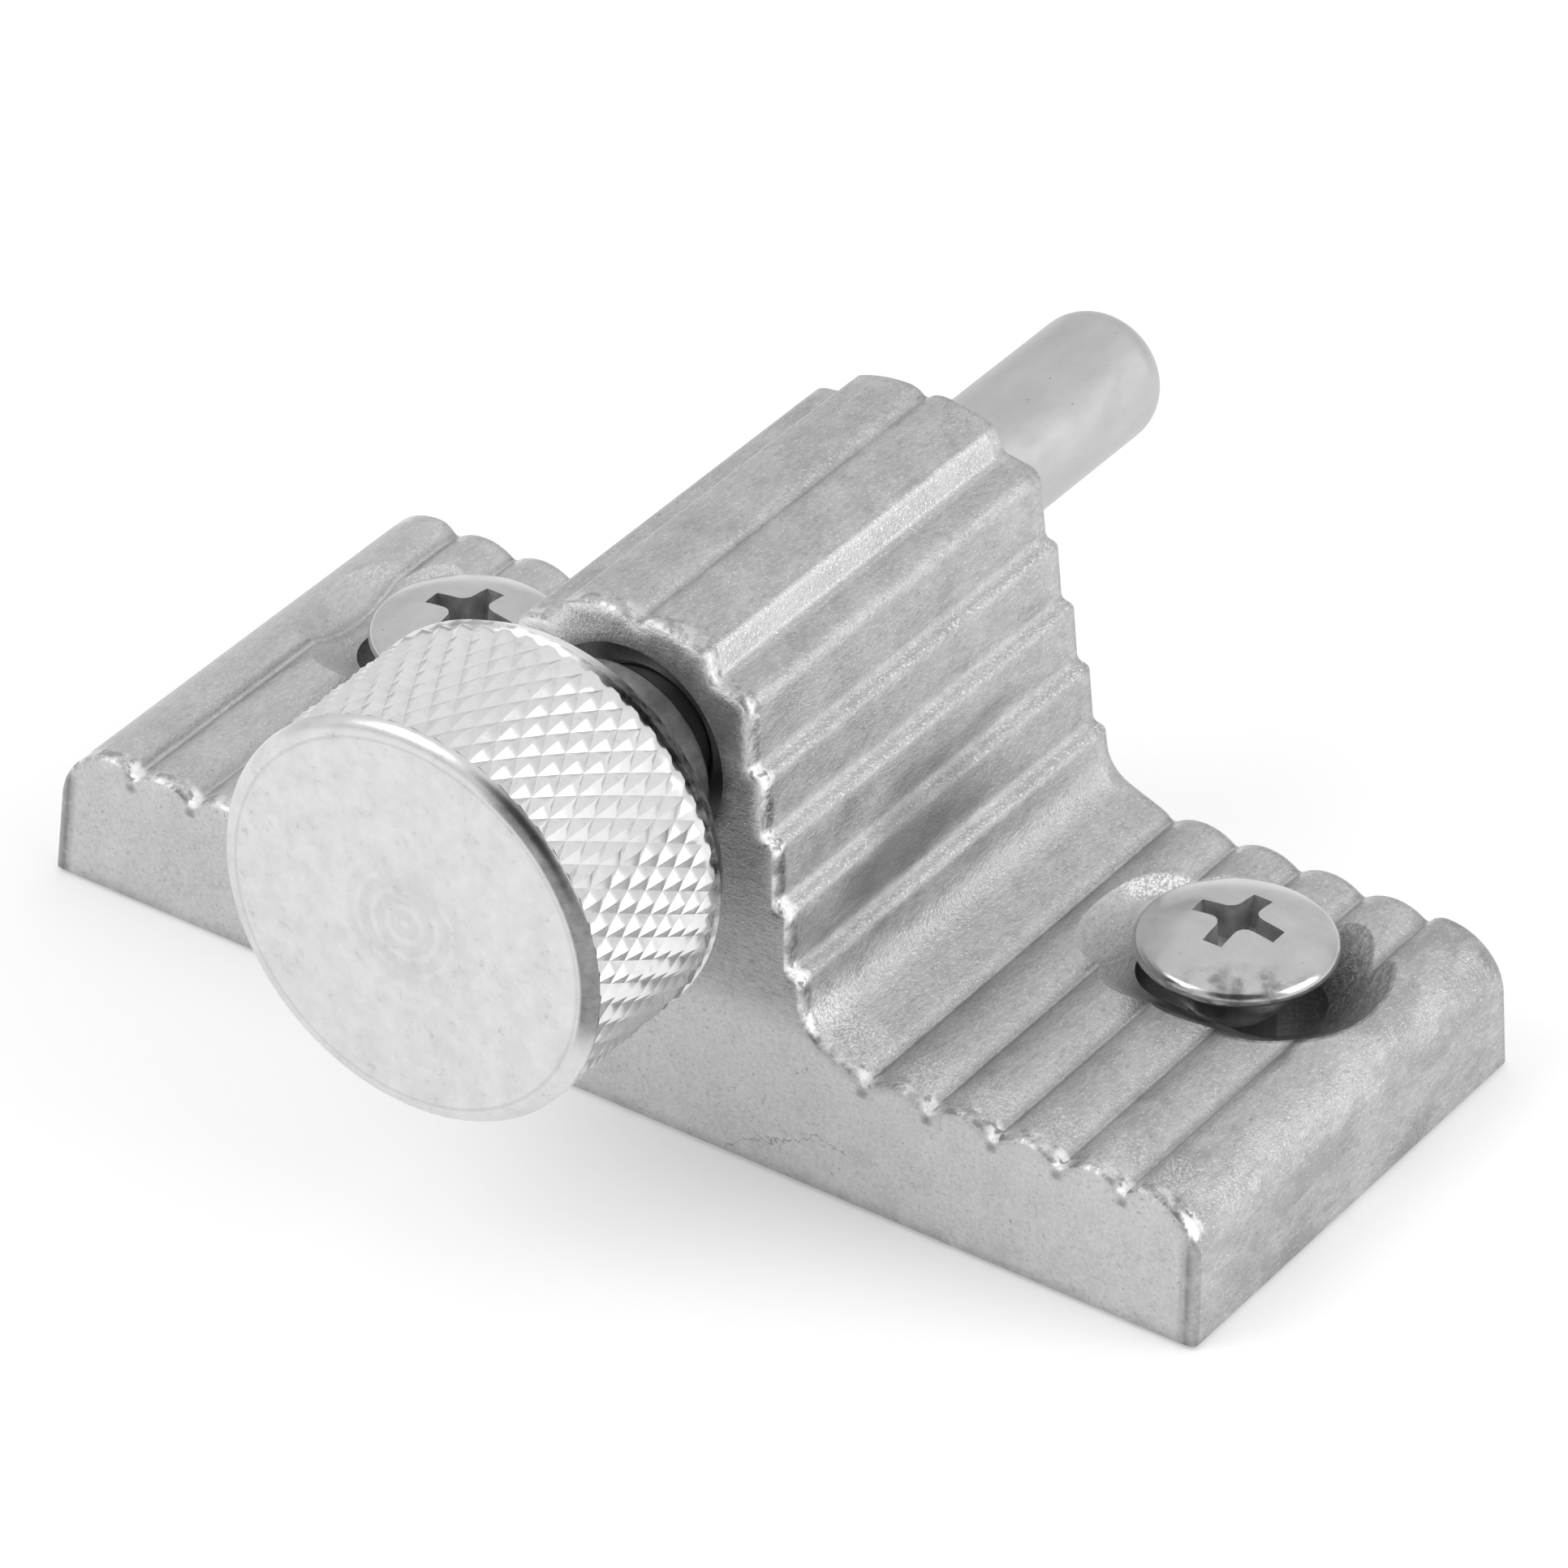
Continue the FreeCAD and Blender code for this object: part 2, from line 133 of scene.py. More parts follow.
def dressed(obj, body, node, material):
    if not obj.data.materials:
        obj.data.materials.append(material)
    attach(obj, body)
    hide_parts(node)


def arcSteps(along, radius, size, first, last, count):
    # stations round a quarter, as (along, radius), angles in degrees from the axis
    angles = [math.radians(first + (last - first) * n / count) for n in range(count + 1)]
    return [(along + size * math.cos(a), radius + size * math.sin(a)) for a in angles]


def turnedPiece(name, steps, segments):
    # a disc is extruded along Z and scaled at each step, as on a lathe; steps are (along, radius)
    deselectAll()
    start, size = steps[0]
    bpy.ops.mesh.primitive_circle_add(vertices=segments, radius=size * mm, fill_type="TRIFAN",
                                      location=(0, 0, start * mm))
    piece = bpy.context.object
    piece.name = name
    applyTransform()
    bpy.ops.object.mode_set(mode="EDIT")
    bpy.ops.mesh.select_mode(type="EDGE")
    bpy.ops.mesh.select_all(action="SELECT")
    bpy.ops.mesh.region_to_loop()
    for along, radius in steps[1:]:
        bpy.ops.mesh.extrude_edges_move(TRANSFORM_OT_translate={"value": (0, 0, (along - start) * mm)})
        factor = radius / size
        bpy.ops.transform.resize(value=(factor, factor, 1), center_override=(0, 0, along * mm))
        start, size = along, radius
    bpy.ops.mesh.edge_face_add()
    bpy.ops.mesh.poke()
    endEdit()
    return piece


def layAlongBolt(piece, start=0):
    # the lathe's Z becomes the bolt's +Y, from the start
    piece.rotation_euler = (-math.pi / 2, 0, 0)
    piece.location = (0, start * mm, axisHeight * mm)


# node trees

def newMaterial(name):
    material = bpy.data.materials.new(name)
    material.use_nodes = True
    tree = material.node_tree
    where = tree.nodes.new("ShaderNodeTexCoord").outputs["Object"]
    return material, tree, tree.nodes["Principled BSDF"], where


def join(tree, node, values):
    for key, value in values.items():
        if isinstance(value, bpy.types.NodeSocket):
            tree.links.new(value, node.inputs[key])
        else:
            node.inputs[key].default_value = value
    return node


def newNode(tree, kind, values, **settings):
    node = tree.nodes.new("ShaderNode" + kind)
    for key, setting in settings.items():
        setattr(node, key, setting)
    return join(tree, node, values)


def splitPlace(tree, where):
    return newNode(tree, "SeparateXYZ", {0: where}).outputs


def noise(tree, where, scale, detail, roughness, turn=(0, 0, 0)):
    if not isinstance(scale, tuple):
        scale = (scale, scale, scale)
    mapped = newNode(tree, "Mapping", {"Vector": where, "Rotation": turn, "Scale": scale})
    values = {"Vector": mapped.outputs[0], "Scale": 1, "Detail": detail, "Roughness": roughness}
    return newNode(tree, "TexNoise", values).outputs[0]


def maths(tree, kind, *values):
    return newNode(tree, "Math", dict(enumerate(values)), operation=kind).outputs[0]


def plus(tree, first, second):
    return maths(tree, "ADD", first, second)


def minus(tree, first, second):
    return maths(tree, "SUBTRACT", first, second)


def times(tree, *values):
    made = values[0]
    for value in values[1:]:
        made = maths(tree, "MULTIPLY", made, value)
    return made


def unsigned(tree, value):
    return maths(tree, "ABSOLUTE", value)


def squares(tree, first, second):
    return plus(tree, times(tree, first, first), times(tree, second, second))


def length(tree, first, second):
    return maths(tree, "SQRT", squares(tree, first, second))


def spread(tree, value, low, high, toLow=0.0, toHigh=1.0):
    # a smooth step of one value between two others
    values = {0: value, 1: low, 2: high, 3: toLow, 4: toHigh}
    return newNode(tree, "MapRange", values, interpolation_type="SMOOTHSTEP").outputs[0]


def past(tree, value, none, full):
    # nought at one distance and one at the other, whichever is higher
    return spread(tree, value, none * mm, full * mm)


def near(tree, value, middle, outer, inner):
    # one within the inner distance of a place, nought beyond the outer
    return past(tree, unsigned(tree, minus(tree, value, middle * mm)), outer, inner)


def fromRow(tree, value, first, pitch):
    # how far it is to the nearest of a row of lines
    return maths(tree, "PINGPONG", minus(tree, value, first * mm), pitch / 2 * mm)


def mixed(tree, kind, amount, first, second, way="MIX"):
    a, b, made = {"FLOAT": (2, 3, 0), "VECTOR": (4, 5, 1), "RGBA": (6, 7, 2)}[kind]
    values = {0: amount, a: first, b: second}
    return newNode(tree, "Mix", values, data_type=kind, blend_type=way).outputs[made]


def blend(tree, way, amount, first, second):
    return mixed(tree, "RGBA", amount, first, second, way)


def plain(tone):
    return (tone, tone, tone, 1)


def tint(tree, shade, look, *masks):
    # a look is a tone, and how much of it there is where that isn't all
    tone, *amount = look
    return blend(tree, "MIX", times(tree, *masks, *amount), shade, plain(tone))


def grey(tree, value, stops):
    node = newNode(tree, "ValToRGB", {0: value})
    ramp = node.color_ramp
    while len(ramp.elements) < len(stops):
        ramp.elements.new(0.5)
    for element, (place, tone) in zip(ramp.elements, stops):
        element.position = place
        element.color = plain(tone)
    return node.outputs[0]


def bump(tree, height, strength, depth, after=None):
    values = {"Height": height, "Strength": strength, "Distance": depth * mm}
    if after is not None:
        values["Normal"] = after
    return newNode(tree, "Bump", values).outputs[0]


# camera, at the place and angle of the photograph

camera = {
    "azimuth": 33.637, "elevation": 34.4605, "roll": 1.337,      # degrees
    "distance": 451.722, "across": -0.4707, "up": -7.7899,
    "focal": 12674.59, "frame": 1932,                            # pixels
    "sensor": 36, "nearest": 10, "farthest": 20000,
}
turn, tilt, roll = (math.radians(camera[key]) for key in ("azimuth", "elevation", "roll"))
back = Vector((math.sin(turn) * math.cos(tilt), -math.cos(turn) * math.cos(tilt), math.sin(tilt)))
level = Vector((math.cos(turn), math.sin(turn), 0))
upright = back.cross(level)
right = level * math.cos(roll) + upright * math.sin(roll)
up = upright * math.cos(roll) - level * math.sin(roll)
lens = bpy.data.cameras.new("photoCamera")
lens.sensor_width = camera["sensor"]
lens.lens = camera["focal"] * camera["sensor"] / camera["frame"]
lens.clip_start, lens.clip_end = camera["nearest"] * mm, camera["farthest"] * mm
cameraObject = bpy.data.objects.new("photoCamera", lens)
bpy.context.scene.collection.objects.link(cameraObject)
facing = Matrix((right, up, back)).transposed().to_4x4()
spot = (back * camera["distance"] - right * camera["across"] - up * camera["up"]) * mm
cameraObject.matrix_world = Matrix.Translation(spot) @ facing
bpy.context.scene.camera = cameraObject
print("camera")


# cast metal of the housing, which follows the lines of its profile
# a noise is (scale a metre, detail, roughness), and tones are (place, tone)
# a place is (middle, outer, inner), and a pair is where a mask is nought and where it is one
# four numbers are such a pair and the values at its two ends, and a look is (tone, amount)

cast = {
    # the profile, and the countersinks' axes
    "frontHalf": 12.675, "frontSlope": 0.064, "endHalf": 30, "endSlope": 0.0487, "fade": 0.2,
    "groove": 12.84, "ribPitch": 3.27, "ribTop": 7.3, "ribsEnd": 27.6,
    "lip": 9.67, "ledgePitch": 2.97, "lowestLedge": 9.2, "highestLedge": 19.0, "flankLean": 0.276,
    "sinkBack": 4.35, "sinkNear": 18.95, "sinkFar": 22.65, "sinkFloor": 4.85, "slotRadius": 2.6,
    "sinkFlare": 1.593, "aboveFloor": (0.3, 0.6),

    # the metal all over
    "fibres": ((4800, 1700, 4800), 5, 0.68), "patches": ((620, 420, 620), 5, 0.6),
    "grain": ((9000, 6500, 9000), 2, 0.7), "pits": ((5200, 4200, 5200), 4, 0.75), "dents": (1500, 2, 0.65),
    "tones": [(0.37, 0.41), (0.50, 0.51), (0.61, 0.59)],
    "pitTones": [(0.29, 0.5), (0.38, 0.94), (0.62, 1.0)],
    "left": (-10, -18), "leftPaintedLightLook": (0.85, 0.16),
    "clouds": ((300, 150, 300), 4, 0.65), "cloudShare": (0.56, 0.42), "cloudEnd": (25.5, 27),
    "cloudLook": (0.3, 0.5),

    # risers, valleys, ledges and the ramp below them
    "riser": (3.95, 0.55, 0.35), "riserUp": (22.1, 22.4), "riserHighlightLook": (0.9, 0.3),
    "sparkleShare": (0.58, 0.70), "sparkleElsewhere": 0.4, "sparkleLook": (1.0,),
    "valley": (0.40, 0.10), "valleyCore": (0.09, 0.03), "valleyShadeLook": (0.2, 0.26),
    "cove": (11.45, 0.34, 0.16), "coveUp": (0.50, 0.25), "coveLightLook": (0.9, 0.12),
    "lipUp": (0.22, 0.06), "lipGrain": (0.3, 0.6, 0.4, 1.0), "lipShare": (0.52, 0.64),
    "lipHighlightLook": (1.0, 0.4),
    "rampAlong": (-10.4, 2.0, 0.6), "rampUp": (7.6, 1.9, 0.7), "rampOut": (9, 9.6),
    "rampShare": (0.40, 0.62), "rampLook": (0.95, 0.45),

    # the darker patch, whose length and height are (middle, half)
    "darkPatchAlong": (-2.5, 8), "darkPatchUp": (12.2, 1.9), "darkPatchTurn": 0.14, "darkPatchOut": (5, 6),
    "drawn": ((420, 110, 420), 3, 0.6), "darkPatchWander": 7.0, "darkPatchEdge": (1.6, -0.6),
    "darkPatchLook": (0.22, 0.7),

    # the front and back faces, with their painted light, and the painted shade under each valley's end
    # there
    "faceEdge": (-0.12, -0.03), "faceLitTones": [(0.37, 0.53), (0.5, 0.62), (0.62, 0.69)],
    "facePits": [(0.3, 0.5), (0.4, 0.95), (0.6, 1.0)],
    "humpUp": (6.5, 9), "crownUp": (14, 19), "crownLight": 2.0,
    "scratches": ((1500, 1500, 16000), 2, 0.6, (0, math.radians(38), 0)),
    "scratchTones": [(0.36, 0.56), (0.64, 0.76)],
    "notch": (0.42, 0.05), "notchOut": (12, 12.4), "notchUp": (5.6, 0.32, 0.05), "notchShadeLook": (0.12, 0.55),

    # the crack, whose knee is (across, up), with a slope to each side
    "crackKnee": (10.8, 2.6), "crackSlopes": (0.5, 0.27), "wander": (900, 3, 0.65), "crackWander": 1.6,
    "crackWidth": (0.05, 0.01), "crackAlong": (9.3, 3.3, 2.8), "crackLook": (0.15, 0.5),

    # the countersinks, with angles in radians
    "sinkRing": (4.85, 0.6, 0.2), "sinkAngle": 2.35, "sinkAround": (0.6, 0.3), "sinkShare": (0.42, 0.6),
    "sinkGlintTone": 0.95, "sinkAmounts": (1.0, 0.25),
    "wall": (0.25, 0.08), "wallOut": (-0.5, 0.8), "wallShare": (0.62, 0.42, 0.45, 0.85), "wallShadeLook": (0.2,),
    "headAlong": (17.4, 3.0, 2.2), "headBack": (3.0, 4.2, 3.0), "headUp": (5.3, 4.2),
    "headShadowLook": (0.15, 0.75),

    # the rims, and the bands down the foot's corners
    "rimRound": 0.9, "rimWidth": 1.2, "rimInner": 0.6, "rimUp": (4.9, 5.5), "beads": (0.7, 0.2),
    "brightDents": (0.50, 0.62), "brightReflectionLook": (0.9, 0.45),
    "darkDents": (0.45, 0.36), "darkLook": (0.2, 0.5), "beadDents": (0.36, 0.5), "beadGlintLook": (1.0, 0.85),
    "bands": (((0.60, 0.42, 0.08), 0.34), ((0.1, 0.6, 0.35), 0.4)),      # each a place and an amount
    "bandDepth": (-0.45, -0.25), "bandUp": (5.4, 4.6), "bandDents": (0.65, 0.4, 0.7, 1.0),
    "bandShadeLook": (0.15,),

    # gloss and relief
    "gloss": (0.35, 0.65, 0.37, 0.52), "rimGloss": 0.16, "bevelSamples": 4, "ledgeRound": 0.6,
    "relief": 0.8, "rimRelief": 0.1, "dentRelief": 0.55,
    "dentDepth": 0.12, "fibreDepth": 0.03, "pitDepth": 0.04, "grainDepth": 0.04,
}


def makeCastMetal():
    material, tree, shader, where = newMaterial("castMetal")
    x, y, z = splitPlace(tree, where)
    out = unsigned(tree, x)
    inFront = past(tree, y, 1, -1)
    depth = plus(tree, unsigned(tree, y), times(tree, z, cast["frontSlope"]))
    fibres, patches, grain, pits, dents = (noise(tree, where, *cast[name]) for name in
                                           ("fibres", "patches", "grain", "pits", "dents"))

    def frontMask(none, full):
        # by the distance out from the front or back face
        return past(tree, depth, cast["frontHalf"] + none, cast["frontHalf"] + full)

    # grained and pitted all over, with painted light making the left paler, and cloudy at the right end
    tone = blend(tree, "MIX", 0.5, fibres, patches)
    shade = grey(tree, tone, cast["tones"])
    shade = blend(tree, "MULTIPLY", 1.0, shade, grey(tree, pits, cast["pitTones"]))
    shade = tint(tree, shade, cast["leftPaintedLightLook"], past(tree, x, *cast["left"]))
    clouds = noise(tree, where, *cast["clouds"])
    shade = tint(tree, shade, cast["cloudLook"], spread(tree, clouds, *cast["cloudShare"]),
                 past(tree, x, *cast["cloudEnd"]))

    # painted sparkling glints, thickest on the risers beside the crown, which also get a painted highlight
    riser = times(tree, near(tree, out, *cast["riser"]), past(tree, z, *cast["riserUp"]))
    elsewhere = cast["sparkleElsewhere"]
    sparkle = times(tree, spread(tree, grain, *cast["sparkleShare"]),
                    plus(tree, elsewhere, times(tree, riser, 1 - elsewhere)))
    shade = tint(tree, shade, cast["riserHighlightLook"], riser)
    shade = tint(tree, shade, cast["sparkleLook"], sparkle)

    # each valley between ribs has painted shade along its walls, which leaves a fine pale line at its
    # bottom
    low = past(tree, z, cast["ribTop"], cast["ribTop"] - cast["fade"])
    ribbed = times(tree, low, past(tree, out, cast["ribsEnd"], cast["ribsEnd"] - cast["fade"]))
    fromGroove = fromRow(tree, out, cast["groove"], cast["ribPitch"])
    core = past(tree, fromGroove, *cast["valleyCore"])
    shadedBesideCore = minus(tree, past(tree, fromGroove, *cast["valley"]), core)
    shade = tint(tree, shade, cast["valleyShadeLook"], shadedBesideCore, ribbed)

    # each ledge's corner is paler with painted light, its lip has a painted sparkling highlight, and the
    # ramp below them is sandy in front
    lowest, highest = cast["lowestLedge"], cast["highestLedge"]
    flank = times(tree, past(tree, z, lowest, lowest + cast["fade"]),
                  past(tree, z, highest + cast["fade"], highest))
    fromLip = fromRow(tree, z, cast["lip"], cast["ledgePitch"])
    acrossLedge = plus(tree, out, times(tree, z, cast["flankLean"]))
    cove = times(tree, past(tree, fromLip, *cast["coveUp"]), flank, near(tree, acrossLedge, *cast["cove"]))
    shade = tint(tree, shade, cast["coveLightLook"], cove)
    lip = times(tree, past(tree, fromLip, *cast["lipUp"]), flank, spread(tree, grain, *cast["lipGrain"]))
    shade = tint(tree, shade, cast["lipHighlightLook"], lip, spread(tree, grain, *cast["lipShare"]))
    sandyRamp = times(tree, near(tree, y, *cast["rampAlong"]), near(tree, z, *cast["rampUp"]),
                      past(tree, x, *cast["rampOut"]))
    shade = tint(tree, shade, cast["rampLook"], sandyRamp, spread(tree, grain, *cast["rampShare"]))

    # a dull, cloudy darker patch low on the hump's flanks
    middle, reach = cast["darkPatchAlong"]
    alongDarkPatch = maths(tree, "DIVIDE", minus(tree, y, middle * mm), reach * mm)
    middle, reach = cast["darkPatchUp"]
    upDarkPatch = minus(tree, minus(tree, z, middle * mm), times(tree, y, cast["darkPatchTurn"]))
    upDarkPatch = maths(tree, "DIVIDE", upDarkPatch, reach * mm)
    drawn = minus(tree, noise(tree, where, *cast["drawn"]), 0.5)
    fromDarkPatch = plus(tree, squares(tree, alongDarkPatch, upDarkPatch), times(tree, drawn, cast["darkPatchWander"]))
    shade = tint(tree, shade, cast["darkPatchLook"], spread(tree, fromDarkPatch, *cast["darkPatchEdge"]),
                 past(tree, out, *cast["darkPatchOut"]))

    # the front and back faces are paler with painted light, unscored at the foot, and greyer and scored on
    # the hump; painted light makes them lighter still high up
    face = frontMask(*cast["faceEdge"])
    facePits = grey(tree, pits, cast["facePits"])
    faceTone = blend(tree, "MULTIPLY", 1.0, grey(tree, tone, cast["faceLitTones"]), facePits)
    scratches = grey(tree, noise(tree, where, *cast["scratches"]), cast["scratchTones"])
    faceTone = blend(tree, "MULTIPLY", past(tree, z, *cast["humpUp"]), faceTone, scratches)
    # painted light, lifting the knob's shadow near the top of the faces
    lit = blend(tree, "MULTIPLY", 1.0, plain(cast["crownLight"]), faceTone)
    faceTone = blend(tree, "MIX", past(tree, z, *cast["crownUp"]), faceTone, lit)
    shade = blend(tree, "MIX", face, shade, faceTone)
    # painted shade on the face under each valley's end
    shade = tint(tree, shade, cast["notchShadeLook"], face, past(tree, fromGroove, *cast["notch"]),
                 past(tree, out, *cast["notchOut"]), near(tree, z, *cast["notchUp"]), inFront)

    # one hair-fine crack on the foot's front, highest at its knee
    knee, height = (value * mm for value in cast["crackKnee"])
    leftSlope, rightSlope = cast["crackSlopes"]
    drop = maths(tree, "MAXIMUM", times(tree, minus(tree, knee, x), leftSlope),
                 times(tree, minus(tree, x, knee), rightSlope))
    wander = times(tree, minus(tree, noise(tree, where, *cast["wander"]), 0.5), cast["crackWander"] * mm)
    fromCrack = unsigned(tree, minus(tree, plus(tree, z, wander), minus(tree, height, drop)))
    shade = tint(tree, shade, cast["crackLook"], past(tree, fromCrack, *cast["crackWidth"]),
                 near(tree, x, *cast["crackAlong"]), face, inFront)

    # the countersinks break the ribs at their left ends in sandy patches of painted glint
    sinkBack = minus(tree, y, cast["sinkBack"] * mm)
    for place, amount in zip((cast["sinkNear"], -cast["sinkFar"]), cast["sinkAmounts"]):
        sinkOut = minus(tree, x, place * mm)
        ring = near(tree, length(tree, sinkOut, sinkBack), *cast["sinkRing"])
        around = unsigned(tree, minus(tree, maths(tree, "ARCTAN2", sinkBack, sinkOut), cast["sinkAngle"]))
        shade = tint(tree, shade, (cast["sinkGlintTone"], amount), ring,
                     spread(tree, around, *cast["sinkAround"]), spread(tree, grain, *cast["sinkShare"]))

    # the right one has painted shade on its right wall, and a painted shadow below the screw's head
    aboveFloor = past(tree, z, *cast["aboveFloor"])
    farOut = minus(tree, x, cast["sinkFar"] * mm)
    flare = maths(tree, "MAXIMUM", minus(tree, z, cast["sinkFloor"] * mm), 0.0)
    fromSlot = minus(tree, length(tree, farOut, sinkBack), cast["slotRadius"] * mm)
    fromWall = minus(tree, fromSlot, times(tree, flare, cast["sinkFlare"]))
    shade = tint(tree, shade, cast["wallShadeLook"], past(tree, fromWall, *cast["wall"]), aboveFloor,
                 past(tree, farOut, *cast["wallOut"]), spread(tree, fibres, *cast["wallShare"]))
    shade = tint(tree, shade, cast["headShadowLook"], near(tree, x, *cast["headAlong"]),
                 near(tree, y, *cast["headBack"]), past(tree, z, *cast["headUp"]), aboveFloor,
                 spread(tree, face, 1, 0))

    # the front and back rims are smoothed round by wear, and in front carry painted reflections, bright and
    # dark spots, with painted glints brightest at each valley and lip
    rim = frontMask(-cast["rimWidth"], -cast["rimInner"] * cast["rimWidth"])
    smooth = times(tree, rim, minus(tree, 1.0, face))
    bead = maths(tree, "MAXIMUM", times(tree, past(tree, fromGroove, *cast["beads"]), low),
                 times(tree, past(tree, fromLip, *cast["beads"]), flank))
    paintedReflections = times(tree, smooth, inFront, past(tree, z, *cast["rimUp"]))
    shade = tint(tree, shade, cast["brightReflectionLook"], paintedReflections, spread(tree, dents, *cast["brightDents"]))
    shade = tint(tree, shade, cast["darkLook"], paintedReflections, spread(tree, dents, *cast["darkDents"]))
    shade = tint(tree, shade, cast["beadGlintLook"], paintedReflections, bead, spread(tree, dents, *cast["beadDents"]))

    # painted shade in a band down the foot's upright front corners, darker along its inner side
    fromEnd = minus(tree, cast["endHalf"] * mm, plus(tree, out, times(tree, z, cast["endSlope"])))
    inner, outer = (times(tree, near(tree, fromEnd, *place), amount) for place, amount in cast["bands"])
    shade = tint(tree, shade, cast["bandShadeLook"], plus(tree, inner, outer), frontMask(*cast["bandDepth"]),
                 inFront, past(tree, z, *cast["bandUp"]), spread(tree, dents, *cast["bandDents"]))

    # the rims and, more weakly, the ledges catch the light as if they were rounder
    roughness = mixed(tree, "FLOAT", smooth, spread(tree, patches, *cast["gloss"]), cast["rimGloss"])
    soft = newNode(tree, "Bevel", {"Radius": cast["rimRound"] * mm}, samples=cast["bevelSamples"])
    softened = maths(tree, "MAXIMUM", rim, times(tree, flank, cast["ledgeRound"]))
    plainNormal = tree.nodes.new("ShaderNodeNewGeometry").outputs["Normal"]
    normal = mixed(tree, "VECTOR", softened, plainNormal, soft.outputs[0])
    normal = bump(tree, dents, times(tree, smooth, cast["dentRelief"]), cast["dentDepth"], normal)
    relief = minus(tree, cast["relief"], times(tree, smooth, cast["relief"] - cast["rimRelief"]))
    for height, name in ((fibres, "fibreDepth"), (pits, "pitDepth"), (grain, "grainDepth")):
        normal = bump(tree, height, relief, cast[name], normal)
    join(tree, shader, {"Base Color": shade, "Metallic": 1.0, "Roughness": roughness, "Normal": normal})
    return material


# turned metal of the knob, round its own axis, with settings as above and angles in radians

turned = {
    "fine": (3500, 4, 0.6), "clouds": (800, 6, 0.65), "drift": (450, 5, 0.6), "specks": (1700, 6, 0.7),
    "tones": [(0.35, 0.65), (0.65, 0.73)],
    "ringWaver": 0.25, "ringTurns": 8000.0,      # radians a metre
    "ringShare": (0.35, 0.55), "ringTones": [(0.0, 0.92), (1.0, 1.0)],
    "centre": (2.2, 3.6), "centreShare": (1.0, 0.1),
    "knurl": (-22.5, 4.4, 4.2), "knurlOut": (8.8, 9.0), "knurlLook": (0.88, 0.5),
    "dirt": [(0.28, 0.7), (0.40, 0.95), (0.6, 1.0)], "dirtShare": 0.8,
    "seam": (8.68, 0.12, 0.04), "seamAlong": (-27.2, -27.3), "seamLook": (0.3, 0.22),
    "darkReflectionAngles": ((-0.35, -0.1), (1.2, 0.95)), "rimOut": (8.75, 8.95), "rimAlong": (-26.80, -26.84),
    "darkReflectionTones": [(0.35, 0.12), (0.65, 0.25)], "darkReflectionShare": 0.85,
    "chamfer": (-17.75, 0.54, 0.48), "chamferOut": (8.7, 8.8), "chamferAngles": ((-0.3, 0.2), (1.35, 1.05)),
    "chamferReflectionTones": [(0.38, 0.05), (0.6, 0.28)], "chamferGloss": 0.4,
    "behind": (-17.22, -17.20), "behindShadeTones": [(0.35, 0.15), (0.65, 0.29)],
    "glints": (-15.4, 1.8, 1.3), "glintShare": (0.54, 0.66), "glintLook": (0.85, 0.55),
    "glossHalf": (4.2, 4.6), "gloss": (0.21, 0.30),
    "ringBump": (0.12, 0.02), "speckBump": (0.12, 0.04), "fineBump": (0.1, 0.02),      # strength, depth
}


